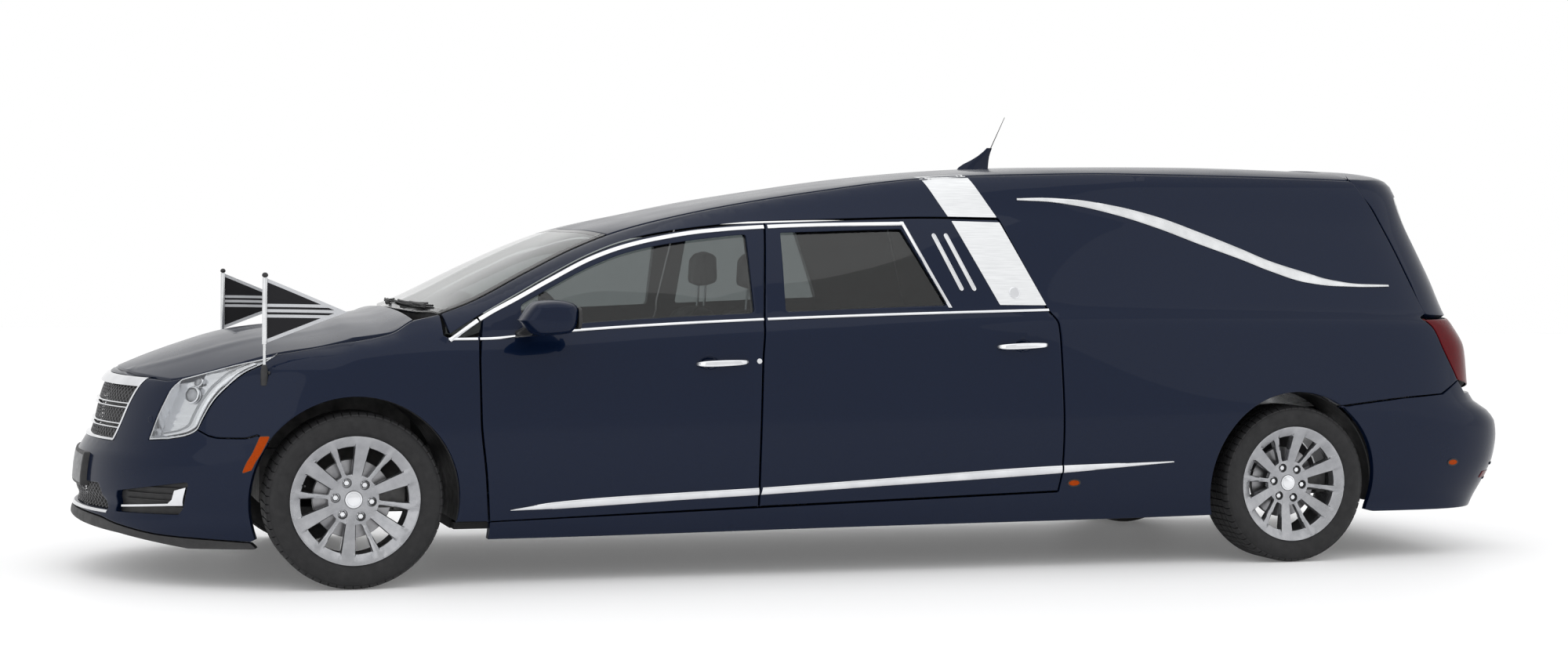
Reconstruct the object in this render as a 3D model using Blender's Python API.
"""Long-wheelbase four-door hearse, standing on its wheels.

Metres, +X forward, +Y to the car's left, +Z up. The origin is on the ground, midway along and across.
Body panels are cut from one set of guide lines, so that neighbours share their surface.
"""

import math

import bmesh
import bpy
from mathutils import Matrix, Vector

for leftover in list(bpy.data.objects):
    bpy.data.objects.remove(leftover, do_unlink=True)

# Driving sizes of the whole car
FRONT_OVERHANG = 1.000
WHEELBASE = 3.990
REAR_OVERHANG = 1.210
HALF_WIDTH = 0.926
BELT_HEIGHT = 1.075
GLASS_HEIGHT = 0.632
LENGTH = FRONT_OVERHANG + WHEELBASE + REAR_OVERHANG
FRONT_AXLE_X = LENGTH / 2 - FRONT_OVERHANG
REAR_AXLE_X = FRONT_AXLE_X - WHEELBASE

# Gaps: a face that touches its seat, and the shut line between two panels
SEAT = 0.0003
SHUT_GAP = 0.008
OVERRUN = 0.050
MOVING_GAP = 0.006
SHELL_FACTOR_LIMIT = 2.0

# Panel and wall thicknesses
SKIN = 0.010
DOOR_WALL = 0.075
DOOR_FRAME_WALL = 0.045
DOOR_CORE_INSET = 0.028
BODY_WALL = 0.080
ROOF_WALL = 0.040
FENDER_WALL = 0.020
HOOD_WALL = 0.024
GLASS = 0.005
GLASS_DEPTH = 0.014
BUMPER_WALL = 0.045

# Wheels
TYRE_RADIUS = 0.3380
TYRE_WIDTH = 0.235
RIM_FLANGE = 0.2457
RIM_SEAT = 0.2300
BARREL_WALL = 0.010
HALF_TRACK = 0.795
HUB_BORE = 0.030
HUB_RADIUS = 0.075
DISC_RADIUS = 0.150
DISC_WALL = 0.022
HAT_DEPTH = 0.018
SPOKE_WALL = 0.026
ROUND_STEPS = 24
AXLE_HEIGHT = TYRE_RADIUS * math.cos(math.pi / ROUND_STEPS)
ARCH_CLEARANCE = 0.052
ARCH_RADIUS = TYRE_RADIUS + ARCH_CLEARANCE
LINER_WALL = 0.006


def station_x(station):
    """x of a station: -1 front tip, 0 front axle, 1 rear axle, 2 rear tip."""
    if station < 0:
        return FRONT_AXLE_X - station * FRONT_OVERHANG
    if station < 1:
        return FRONT_AXLE_X - station * WHEELBASE
    return REAR_AXLE_X - (station - 1) * REAR_OVERHANG


def x_station(x):
    if x > FRONT_AXLE_X:
        return (FRONT_AXLE_X - x) / FRONT_OVERHANG
    if x > REAR_AXLE_X:
        return (FRONT_AXLE_X - x) / WHEELBASE
    return 1 + (REAR_AXLE_X - x) / REAR_OVERHANG


def height(share):
    """z of a height share: 1 is the belt, 2 the roof's crown."""
    if share < 1:
        return share * BELT_HEIGHT
    return BELT_HEIGHT + (share - 1) * GLASS_HEIGHT


def eased(knots, values, at):
    """A cubic through the values that never overshoots them."""
    count = len(knots)
    if at <= knots[0]:
        return values[0]
    if at >= knots[-1]:
        return values[-1]
    place = max(i for i in range(count - 1) if knots[i] <= at)

    def slope(i):
        return (values[i + 1] - values[i]) / (knots[i + 1] - knots[i])

    def tangent(i):
        if i == 0:
            return slope(0)
        if i == count - 1:
            return slope(count - 2)
        before, after = slope(i - 1), slope(i)
        if before * after <= 0:
            return 0.0
        near = 2 * (knots[i + 1] - knots[i]) + knots[i] - knots[i - 1]
        far = knots[i + 1] - knots[i] + 2 * (knots[i] - knots[i - 1])
        return (near + far) / (near / before + far / after)

    span = knots[place + 1] - knots[place]
    t = (at - knots[place]) / span
    return (
        values[place] * (1 + 2 * t) * (1 - t) ** 2
        + tangent(place) * span * t * (1 - t) ** 2
        + values[place + 1] * t * t * (3 - 2 * t)
        + tangent(place + 1) * span * t * t * (t - 1)
    )


def read_rows(rows, at):
    """The eased values of every column after the first, at a value of the first."""
    knots = [row[0] for row in rows]
    return [eased(knots, [row[c] for row in rows], at) for c in range(1, len(rows[0]))]


# Guide lines of the body side. Columns: station, share of HALF_WIDTH, share of BELT_HEIGHT.
SILL_SHARES = [(-0.45, 0.923, 0.163), (0.0, 0.923, 0.156), (0.10, 0.927, 0.153), (0.50, 0.929, 0.167),
               (0.90, 0.929, 0.181), (1.05, 0.929, 0.200), (1.48, 0.923, 0.228), (1.75, 0.920, 0.235)]
LOW_SHARES = [(-0.45, 0.945, 0.209), (0.0, 0.950, 0.216), (0.125, 0.956, 0.226), (0.40, 0.960, 0.252),
              (0.73, 0.963, 0.298), (0.90, 0.963, 0.318), (1.48, 0.956, 0.344), (1.75, 0.950, 0.350)]
WIDE_SHARES = [(-0.45, 0.985, 0.521), (0.0, 0.995, 0.540), (0.20, 0.999, 0.558), (0.50, 1.0, 0.577),
               (0.85, 0.999, 0.595), (1.01, 0.996, 0.614), (1.48, 0.990, 0.614), (1.75, 0.985, 0.614)]
CREASE_SHARES = [(-0.45, 0.965, 0.716), (0.0, 0.972, 0.753), (0.175, 0.975, 0.822), (0.40, 0.971, 0.886),
                 (0.72, 0.964, 0.941), (0.90, 0.964, 0.948), (1.48, 0.955, 0.948), (1.75, 0.945, 0.945)]
BELT_SHARES = [(-0.45, 0.913, 0.767), (-0.05, 0.929, 0.823), (0.09, 0.931, 0.882), (0.198, 0.931, 0.912),
               (0.296, 0.931, 0.938), (0.404, 0.930, 0.959), (0.714, 0.927, 1.0), (0.902, 0.925, 0.998),
               (1.50, 0.918, 0.986), (1.75, 0.905, 0.980)]
FENDER_TOP_SHARES = [(-0.767, 0.84, 0.716), (-0.665, 0.84, 0.724), (-0.45, 0.845, 0.779),
                     (-0.29, 0.85, 0.823), (-0.076, 0.853, 0.859), (0.036, 0.848, 0.899),
                     (0.058, 0.837, 0.945), (0.113, 0.794, 1.0)]
# The same above the belt. Columns: station, share of HALF_WIDTH, share of GLASS_HEIGHT above the belt line.
DOOR_TOP_SHARES = [(0.088, 0.930, 0.013), (0.122, 0.891, 0.124), (0.159, 0.859, 0.237), (0.188, 0.832, 0.326),
                   (0.235, 0.792, 0.453), (0.269, 0.769, 0.517), (0.304, 0.756, 0.554), (0.351, 0.745, 0.583),
                   (0.417, 0.740, 0.605), (0.571, 0.738, 0.603), (0.674, 0.738, 0.588), (0.877, 0.743, 0.582),
                   (1.40, 0.734, 0.581), (1.75, 0.713, 0.578)]
EDGE_SHARES = [(0.083, 0.826, 0.147), (0.113, 0.799, 0.201), (0.173, 0.734, 0.365), (0.221, 0.686, 0.490),
               (0.267, 0.653, 0.580), (0.328, 0.639, 0.660), (0.416, 0.632, 0.746), (0.484, 0.626, 0.797),
               (0.586, 0.621, 0.859), (0.702, 0.621, 0.889), (0.827, 0.624, 0.915), (1.40, 0.621, 0.926),
               (1.75, 0.605, 0.926)]
CROWN_SHARES = [(0.070, 0.486, 0.159), (0.101, 0.464, 0.243), (0.163, 0.432, 0.415), (0.210, 0.410, 0.530),
                (0.243, 0.400, 0.592), (0.329, 0.378, 0.688), (0.416, 0.378, 0.777), (0.539, 0.378, 0.861),
                (0.652, 0.378, 0.913), (0.772, 0.378, 0.955), (0.969, 0.378, 0.986), (1.75, 0.378, 0.990)]
CENTRE_SHARES = [(0.060, 0.0, 0.172), (0.101, 0.0, 0.270), (0.163, 0.0, 0.444), (0.210, 0.0, 0.556),
                 (0.243, 0.0, 0.616), (0.329, 0.0, 0.707), (0.463, 0.0, 0.827), (0.539, 0.0, 0.879),
                 (0.652, 0.0, 0.933), (0.772, 0.0, 0.974), (0.870, 0.0, 0.992), (0.969, 0.0, 1.0),
                 (1.75, 0.0, 1.0)]
LOWER_GUIDES = [SILL_SHARES, LOW_SHARES, WIDE_SHARES, CREASE_SHARES, BELT_SHARES]
UPPER_GUIDES = [DOOR_TOP_SHARES, EDGE_SHARES, CROWN_SHARES, CENTRE_SHARES]
SILL, LOW, WIDE, CREASE, BELT, TOP, EDGE, CROWN, CENTRE = range(9)

# How far the nose and the tail reach at each height, as shares of the overhangs, and how square they turn
NOSE_REACH_SHARES = [(0.13, 0.975), (0.20, 0.997), (0.214, 1.0), (0.28, 0.978), (0.31, 0.989), (0.45, 0.972),
                     (0.475, 0.950), (0.52, 0.932), (0.70, 0.877), (0.744, 0.827), (0.772, 0.770),
                     (0.794, 0.700), (0.82, 0.630), (0.86, 0.500), (0.95, 0.300)]
TAIL_REACH_SHARES = [(0.19, 0.900), (0.31, 0.960), (0.40, 0.994), (0.47, 1.0), (0.54, 0.990), (0.59, 0.950),
                     (0.635, 0.880), (0.67, 0.860), (0.85, 0.843), (0.977, 0.777), (1.20, 0.740),
                     (1.64, 0.661), (1.87, 0.625), (1.97, 0.590)]
NOSE_START_SHARE = -0.10
TAIL_START_SHARE = 1.174
NOSE_SQUARENESS = 2.0
TAIL_SQUARENESS = 4.6


def guide_point(rows, station, base, scale):
    out, up = read_rows(rows, station)
    return out * HALF_WIDTH, base + up * scale


def section(x, front):
    """Points (y, z) of the body's outside at x, from the sill up."""
    station = x_station(x)
    points = [guide_point(rows, station, 0.0, BELT_HEIGHT) for rows in LOWER_GUIDES]
    if front:
        return points + [guide_point(FENDER_TOP_SHARES, station, 0.0, BELT_HEIGHT)]
    belt_z = points[BELT][1]
    return points + [guide_point(rows, station, belt_z, GLASS_HEIGHT) for rows in UPPER_GUIDES]


def across(points, level):
    """A point between the levels of a section."""
    knots = list(range(len(points)))
    return eased(knots, [p[0] for p in points], level), eased(knots, [p[1] for p in points], level)


def half_width_at(points, z):
    """y of a section at a height, by halving."""
    low, high = 0.0, float(min(len(points) - 1, EDGE))
    for _ in range(24):
        middle = (low + high) / 2
        if across(points, middle)[1] < z:
            low = middle
        else:
            high = middle
    return across(points, low)[0]


NOSE_X = station_x(NOSE_START_SHARE)
TAIL_X = station_x(TAIL_START_SHARE)
NOSE_SECTION = section(NOSE_X, True)
TAIL_SECTION = section(TAIL_X, False)


def nose_reach(z):
    share = z / BELT_HEIGHT
    return FRONT_AXLE_X + read_rows(NOSE_REACH_SHARES, share)[0] * FRONT_OVERHANG - NOSE_X


def tail_reach(z):
    share = z / BELT_HEIGHT if z < BELT_HEIGHT else 1 + (z - BELT_HEIGHT) / GLASS_HEIGHT
    return TAIL_X - REAR_AXLE_X + read_rows(TAIL_REACH_SHARES, share)[0] * REAR_OVERHANG


def side_point(x, level, front, depth=0.0):
    """(x, y, z) on the left side of the body, moved inwards by depth."""
    if x > NOSE_X:
        z = across(section(x, True), level)[1]
        along = min((x - NOSE_X) / nose_reach(z), 1.0)
        y = half_width_at(NOSE_SECTION, z) * (1 - along ** NOSE_SQUARENESS) ** (1 / NOSE_SQUARENESS)
        return Vector((x, y - depth, z))
    y, z = across(section(x, front), level)
    if x < TAIL_X:
        along = min((TAIL_X - x) / tail_reach(z), 1.0)
        y *= (1 - along ** TAIL_SQUARENESS) ** (1 / TAIL_SQUARENESS)
    return Vector((x, y - depth, z))


def side_y(x, z):
    """Half-breadth of the cabin body at (x, z)."""
    return half_width_at(section(x, False), z)


def belt_z(x):
    return section(x, False)[BELT][1]


def door_top_z(x):
    return section(x, False)[TOP][1]


def top_z(x, y):
    """Height of the windscreen and roof at (x, y)."""
    points = section(x, False)
    low, high = float(EDGE), float(CENTRE)
    for _ in range(24):
        middle = (low + high) / 2
        if across(points, middle)[0] > abs(y):
            low = middle
        else:
            high = middle
    return across(points, low)[1]


def nose_point(z, turn, depth):
    """A point of the front bumper's surface, by its height and its turn from straight ahead."""
    reach = nose_reach(z) - depth
    y = (half_width_at(NOSE_SECTION, z) - depth) * math.sin(turn)
    return Vector((NOSE_X + reach * abs(math.cos(turn)) ** (2 / NOSE_SQUARENESS), y, z))


def tail_point(z, turn, depth):
    reach = tail_reach(z) - depth
    bend = 2 / TAIL_SQUARENESS
    side = math.copysign(abs(math.sin(turn)) ** bend, math.sin(turn))
    y = (half_width_at(TAIL_SECTION, z) - depth) * side
    return Vector((TAIL_X - reach * abs(math.cos(turn)) ** bend, y, z))


# Finishes: name, colour, roughness, metallic
def finish(name, colour, roughness, metallic=0.0):
    material = bpy.data.materials.new(name)
    material.use_nodes = True
    shader = material.node_tree.nodes["Principled BSDF"]
    shader.inputs["Base Color"].default_value = (*colour, 1.0)
    shader.inputs["Roughness"].default_value = roughness
    shader.inputs["Metallic"].default_value = metallic
    return material


NAVY = finish("navy_paint", (0.008, 0.012, 0.030), 0.25, 0.3)
BLACK_TRIM = finish("black_trim", (0.012, 0.012, 0.013), 0.55)
CHROME = finish("chrome", (0.78, 0.79, 0.80), 0.12, 1.0)
TINTED = finish("tinted_glass", (0.02, 0.025, 0.025), 0.05)
CLEAR = finish("lamp_glass", (0.75, 0.77, 0.80), 0.08)
RED_GLASS = finish("red_lamp", (0.45, 0.01, 0.02), 0.1)
RUBBER = finish("rubber", (0.02, 0.02, 0.02), 0.8)
ALLOY = finish("alloy", (0.55, 0.56, 0.58), 0.3, 1.0)
STEEL = finish("steel", (0.22, 0.22, 0.23), 0.5, 0.9)
LEATHER = finish("leather", (0.03, 0.03, 0.032), 0.6)
DECK = finish("deck_steel", (0.60, 0.61, 0.62), 0.3, 1.0)
CLOTH = finish("pennant_cloth", (0.015, 0.015, 0.018), 0.8)


def solid(name, points, faces, material=None):
    """A mesh object from points and faces, its faces turned outwards."""
    mesh = bpy.data.meshes.new(name)
    mesh.from_pydata([tuple(p) for p in points], [], faces)
    work = bmesh.new()
    work.from_mesh(mesh)
    bmesh.ops.recalc_face_normals(work, faces=work.faces[:])
    work.to_mesh(mesh)
    work.free()
    piece = bpy.data.objects.new(name, mesh)
    bpy.context.scene.collection.objects.link(piece)
    if material:
        mesh.materials.append(material)
    return piece


def combined(piece, tool, operation):
    """The piece after a Boolean with the tool, which is used up."""
    modifier = piece.modifiers.new(operation, "BOOLEAN")
    modifier.operation = operation
    modifier.solver = "EXACT"
    modifier.object = tool
    bpy.context.view_layer.update()
    graph = bpy.context.evaluated_depsgraph_get()
    done = bpy.data.meshes.new_from_object(piece.evaluated_get(graph))
    piece.modifiers.clear()
    materials = [m for m in piece.data.materials if m]
    piece.data = done
    done.materials.clear()
    for material in materials[:1]:
        done.materials.append(material)
    done.polygons.foreach_set("material_index", [0] * len(done.polygons))
    bpy.data.objects.remove(tool, do_unlink=True)
    return piece


def joined(piece, *others):
    for other in others:
        combined(piece, other, "UNION")
    return piece


def cut(piece, *tools):
    for tool in tools:
        combined(piece, tool, "DIFFERENCE")
    return piece


def kept(piece, tool):
    return combined(piece, tool, "INTERSECT")


def cleared(piece, other, gap):
    """The piece with room cut for the other, which stays as it is."""
    work = bmesh.new()
    work.from_mesh(other.data)
    work.normal_update()
    moves = [(v, v.normal * gap * min(v.calc_shell_factor(), SHELL_FACTOR_LIMIT)) for v in work.verts]
    for vertex, move in moves:
        vertex.co += move
    mesh = bpy.data.meshes.new("room")
    work.to_mesh(mesh)
    work.free()
    room = bpy.data.objects.new("room", mesh)
    bpy.context.scene.collection.objects.link(room)
    return combined(piece, room, "DIFFERENCE")


def largest(piece):
    """The piece without the crumbs that a cut left beside it."""
    work = bmesh.new()
    work.from_mesh(piece.data)
    groups, seen = [], set()
    for start in work.verts:
        if start in seen:
            continue
        group, edge_of_group = [], [start]
        seen.add(start)
        while edge_of_group:
            vertex = edge_of_group.pop()
            group.append(vertex)
            for edge in vertex.link_edges:
                other = edge.other_vert(vertex)
                if other not in seen:
                    seen.add(other)
                    edge_of_group.append(other)
        groups.append(group)
    groups.sort(key=len)
    bmesh.ops.delete(work, geom=[v for group in groups[:-1] for v in group], context="VERTS")
    work.to_mesh(piece.data)
    work.free()
    return piece


def shell(name, outer, inner, material=None, fold=""):
    """A closed shell between two grids of points. fold names the way that the car's middle crosses."""
    rows, columns = len(outer), len(outer[0])
    points = [p for row in outer for p in row] + [p for row in inner for p in row]
    shift = rows * columns

    def index(r, c):
        return r * columns + c

    faces = []
    for r in range(rows - 1):
        for c in range(columns - 1):
            quad = [index(r, c), index(r, c + 1), index(r + 1, c + 1), index(r + 1, c)]
            past_middle = (fold == "rows" and 2 * r >= rows - 1) or (fold == "columns" and 2 * c >= columns - 1)
            first = 1 if past_middle else 0
            for triangle in ((first, first + 1, first + 2), (first, first + 2, (first + 3) % 4)):
                corners = [quad[i] for i in triangle]
                faces.append(corners)
                faces.append([shift + i for i in reversed(corners)])
    rim = [index(0, c) for c in range(columns)]
    rim += [index(r, columns - 1) for r in range(1, rows)]
    rim += [index(rows - 1, c) for c in range(columns - 2, -1, -1)]
    rim += [index(r, 0) for r in range(rows - 2, 0, -1)]
    for a, b in zip(rim, rim[1:] + rim[:1]):
        faces.append([b, a, shift + a, shift + b])
    return solid(name, points, faces, material)


def spread(low, high, count):
    return [low + (high - low) * i / (count - 1) for i in range(count)]


def side_shell(name, front_x, rear_x, levels, columns, depths, front=False, material=None):
    """A shell of the left body side. front_x, rear_x and the two depths may be functions of the level."""
    def value(given, level):
        return given(level) if callable(given) else given

    grids = []
    for depth in depths:
        grids.append([[side_point(x, level, front, value(depth, level))
                       for x in spread(value(front_x, level), value(rear_x, level), columns)]
                      for level in levels])
    return shell(name, grids[0], grids[1], material)


def prism(name, outline, low, high, axis="Y", material=None):
    """An outline run along one axis. It lies in XZ for Y, in YZ for X and in XY for Z."""
    def place(a, b, c):
        return {"Y": (a, c, b), "X": (c, a, b), "Z": (a, b, c)}[axis]

    count = len(outline)
    points = [place(a, b, low) for a, b in outline] + [place(a, b, high) for a, b in outline]
    faces = [list(range(count)), list(range(2 * count - 1, count - 1, -1))]
    faces += [[i, (i + 1) % count, count + (i + 1) % count, count + i] for i in range(count)]
    return solid(name, points, faces, material)


def block(name, low, high, material=None):
    outline = [(low[0], low[2]), (high[0], low[2]), (high[0], high[2]), (low[0], high[2])]
    return prism(name, outline, low[1], high[1], "Y", material)


def rod(name, start, end, radius, sides=16, end_radius=None, material=None, phase=0.5):
    """A round bar between two points, tapered where end_radius is given."""
    start, end = Vector(start), Vector(end)
    turn = (end - start).to_track_quat("Z", "Y").to_matrix()
    points = []
    for centre, size in ((start, radius), (end, radius if end_radius is None else end_radius)):
        for i in range(sides):
            angle = 2 * math.pi * (i + phase) / sides
            points.append(centre + turn @ Vector((size * math.cos(angle), size * math.sin(angle), 0.0)))
    faces = [list(range(sides)), list(range(2 * sides - 1, sides - 1, -1))]
    faces += [[i, (i + 1) % sides, sides + (i + 1) % sides, sides + i] for i in range(sides)]
    return solid(name, points, faces, material)


def wheel_angle(i, steps=ROUND_STEPS):
    """Corner angles that put a flat at the bottom."""
    return 2 * math.pi * (i + 0.5) / steps - math.pi / 2


def turned(name, profile, x, z, steps=ROUND_STEPS, material=None):
    """A ring about the line y at (x, z). The profile is a loop of (radius, y)."""
    count = len(profile)
    points = []
    for i in range(steps):
        angle = wheel_angle(i, steps)
        points += [(x + r * math.cos(angle), y, z + r * math.sin(angle)) for r, y in profile]
    faces = []
    for i in range(steps):
        this, after = i * count, (i + 1) % steps * count
        faces += [[this + j, this + (j + 1) % count, after + (j + 1) % count, after + j] for j in range(count)]
    return solid(name, points, faces, material)


def mirrored(piece, name):
    """The same piece on the car's right."""
    mesh = piece.data.copy()
    mesh.transform(Matrix.Scale(-1, 4, (0, 1, 0)))
    mesh.flip_normals()
    copy = bpy.data.objects.new(name, mesh)
    bpy.context.scene.collection.objects.link(copy)
    mesh.name = name
    return copy


def inset(outline, distance):
    """An outline moved inwards by a distance, outwards where it is negative."""
    area = sum(a[0] * b[1] - b[0] * a[1] for a, b in zip(outline, outline[1:] + outline[:1]))
    sign = 1 if area > 0 else -1
    result = []
    count = len(outline)
    for i in range(count):
        here = Vector(outline[i])
        before = (here - Vector(outline[i - 1])).normalized()
        after = (Vector(outline[(i + 1) % count]) - here).normalized()
        normals = [Vector((-d.y, d.x)) * sign for d in (before, after)]
        middle = normals[0] + normals[1]
        result.append(tuple(here + middle * (distance / max(middle.dot(normals[0]), 0.3))))
    return result


def side_outline(shares):
    """Side view points from (station, height share) pairs."""
    return [(station_x(s), height(h)) for s, h in shares]


def arch_points(axle_x, radius, start, end, count):
    """Points of a wheel arch, the angles in degrees from straight back, over the top."""
    result = []
    for angle in spread(math.radians(start), math.radians(end), count):
        result.append((axle_x - radius * math.cos(angle), AXLE_HEIGHT + radius * math.sin(angle)))
    return result


FAR = HALF_WIDTH + OVERRUN
LEFT = (0.30 * HALF_WIDTH, FAR)

# Shut lines in side view, from the top down, as (station, height share)
DOOR_FRONT_SHARES = [(0.119, 0.880), (0.117, 0.793), (0.118, 0.594), (0.124, 0.394), (0.128, 0.226)]
PILLAR_SHARES = [(0.405, 0.966), (0.400, 0.792), (0.398, 0.483), (0.399, 0.262)]
PILLAR_TOP_SHARE = 0.417
DOOR_REAR_SHARES = [(0.712, 1.0), (0.722, 0.941), (0.724, 0.804), (0.727, 0.387), (0.724, 0.299)]
DOOR_REAR_TOP_SHARE = 0.674
DOOR_FRONT_TOP_SHARE = 0.122


def top_run(first, last, count):
    """Points along the top of the door glass."""
    return [(station_x(s), door_top_z(station_x(s))) for s in spread(first, last, count)]


front_door_line = (top_run(DOOR_FRONT_TOP_SHARE, PILLAR_TOP_SHARE, 9) + side_outline(PILLAR_SHARES)
                   + side_outline(DOOR_FRONT_SHARES[::-1]))
rear_door_line = (top_run(PILLAR_TOP_SHARE, DOOR_REAR_TOP_SHARE, 4) + side_outline(DOOR_REAR_SHARES)
                  + side_outline(PILLAR_SHARES[::-1]))

# Windows: a frame's width below the door's top, and a sill above the belt
WINDOW_FRAME = 0.046
WINDOW_SILL = 0.020
FRONT_WINDOW_SHARES = (0.160, 0.395)
REAR_WINDOW_TOP_SHARES = (0.432, 0.563)
REAR_WINDOW_FOOT_SHARES = (0.428, 0.602)


def window_line(top_shares, foot_shares, count):
    top = [(x, z - WINDOW_FRAME) for x, z in top_run(*top_shares, count)]
    foot = [(station_x(s), belt_z(station_x(s)) + WINDOW_SILL) for s in spread(*foot_shares[::-1], 3)]
    return top + foot


front_window = window_line(FRONT_WINDOW_SHARES, FRONT_WINDOW_SHARES, 8)
rear_window = window_line(REAR_WINDOW_TOP_SHARES, REAR_WINDOW_FOOT_SHARES, 3)

DOOR_LEVELS = (0.6, 1.0, 1.5, 2.0, 2.6, 3.0, 4.0, 4.5, 5.0, 5.25)
HINGE_HEIGHT_SHARES = (0.36, 0.70)
HINGE_PLATE = 0.012
HINGE_INBOARD = 0.055
HINGE_REACH = 0.045
HINGE_WIDTH = 0.020
HANDLE_DEPTH = 0.022


def hinge_plates(x, y, carrier_run, above):
    """Two level plates beside a door's hinge line, above or below the joint between them."""
    plates = []
    for share in HINGE_HEIGHT_SHARES:
        z = height(share)
        low, high = (z + SEAT, z + HINGE_PLATE) if above else (z - HINGE_PLATE, z)
        x_low, x_high = sorted(carrier_run)
        plates.append(block("plate", (x + x_low, y - HINGE_INBOARD - HINGE_WIDTH, low),
                            (x + x_high, y - HINGE_INBOARD, high)))
    return plates


def door(name, line, window, columns):
    """A pressed skin with a deeper inner door, its window cut through, and two hinge plates."""
    xs = [p[0] for p in line]
    front_x, rear_x = max(xs) + SKIN, min(xs) - SKIN

    def wall(level):
        return DOOR_FRAME_WALL if level > BELT else DOOR_WALL

    skin = side_shell(name, front_x, rear_x, DOOR_LEVELS, columns, (0.0, SKIN), material=NAVY)
    kept(skin, prism("line", inset(line, SHUT_GAP / 2), *LEFT))
    core = side_shell("core", front_x, rear_x, DOOR_LEVELS, columns, (SKIN / 2, wall))
    kept(core, prism("line", inset(line, DOOR_CORE_INSET), *LEFT))
    joined(skin, core)
    cut(skin, prism("window", window, *LEFT))
    return skin


def door_hinge(line):
    """(x, y) of a door's hinge line, at the foremost and outermost edge of its skin."""
    return max(p[0] for p in line) - SHUT_GAP / 2, HALF_WIDTH


front_hinge = door_hinge(front_door_line)
rear_hinge = door_hinge(rear_door_line)
left_doors = []
for name, line, window, hinge, columns in (
        ("front_door", front_door_line, front_window, front_hinge, 7),
        ("rear_door", rear_door_line, rear_window, rear_hinge, 7)):
    piece = door(name + "_left", line, window, columns)
    run = (-DOOR_CORE_INSET - HINGE_REACH, -SHUT_GAP / 2)
    joined(piece, *hinge_plates(hinge[0], hinge[1], run, True))
    left_doors.append((piece, hinge))
    pane = side_shell(name + "_glass_left", max(p[0] for p in window) + SKIN, min(p[0] for p in window) - SKIN,
                      (3.8, 4.0, 4.25, 4.5, 4.75, 5.0, 5.2), 6, (GLASS_DEPTH, GLASS_DEPTH + GLASS),
                      material=TINTED)
    kept(pane, prism("pane", inset(window, SEAT), *LEFT))
    left_doors.append((pane, hinge))

# Body side: one pressing from the windscreen pillar to the tail, with the door opening cut out
TAIL_LINE_SHARES = [(1.353, 2.06), (1.353, 1.934), (1.431, 1.687), (1.483, 1.443), (1.524, 1.203), (1.563, 0.988)]
LAMP_FRONT_SHARES = [(1.530, 0.974), (1.576, 0.931), (1.612, 0.852), (1.688, 0.720)]
LAMP_REAR_SHARE = (1.733, 0.668)
BUMPER_TOP_SHARES = [(1.171, 0.6205), (1.43, 0.652), (1.604, 0.666)]
BODY_FRONT_SHARE = 0.085
BODY_EDGE_WALL = 0.012
BODY_REAR_SHARE = 1.72
SILL_FRONT_SHARE = 0.104
SILL_REAR_SHARE = 0.890
CABIN_HALF_WIDTH = 0.715
SILL_BOX_SHARES = (0.175, 0.225)
POST_TOP_SHARE = 0.90
POST_SHARES = (0.1015, 0.114)
PILLAR_HALF_WIDTH = 0.050
PILLAR_WALL = 0.055
LINER_INNER_Y = 0.662
FLANGE_LIP = 0.016
FLANGE_WIDTH = 0.034
FLANGE_WALL = 0.025

body_front_x, body_rear_x = station_x(BODY_FRONT_SHARE), station_x(BODY_REAR_SHARE)
body_levels = (0.0, 1.0, 1.5, 2.0, 2.6, 3.0, 4.0, 4.5, 5.0, 5.5, 5.9)


def body_wall(level):
    """Full depth up to the door's top, thin where the roof and windscreen meet it."""
    share = min(max(level - TOP, 0.0) / (body_levels[-1] - TOP), 1.0)
    return BODY_WALL + (BODY_EDGE_WALL - BODY_WALL) * share


body = side_shell("body_side_left", body_front_x, body_rear_x, body_levels, 17, (0.0, body_wall), material=NAVY)
ahead = body_front_x + OVERRUN
opening = ([(ahead, door_top_z(body_front_x))] + top_run(BODY_FRONT_SHARE + 0.003, DOOR_REAR_TOP_SHARE, 14)
           + side_outline(DOOR_REAR_SHARES) + side_outline(PILLAR_SHARES[-1:])
           + side_outline(DOOR_FRONT_SHARES[-1:]) + [(ahead, height(DOOR_FRONT_SHARES[-1][1]))])
cut(body, prism("opening", inset(opening, -SHUT_GAP / 2), *LEFT))
cut(body, prism("arch", arch_points(REAR_AXLE_X, ARCH_RADIUS, -60, 240, 19), *LEFT))
tail_edge = side_outline(TAIL_LINE_SHARES) + side_outline(LAMP_FRONT_SHARES) + side_outline(BUMPER_TOP_SHARES[::-1])
behind = station_x(2) - OVERRUN
tail_cut = (tail_edge + [(station_x(BUMPER_TOP_SHARES[0][0]), 0.0), (behind, 0.0), (behind, height(2.06))])
cut(body, prism("tail", inset(tail_cut, -SHUT_GAP / 2), *LEFT))

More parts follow.
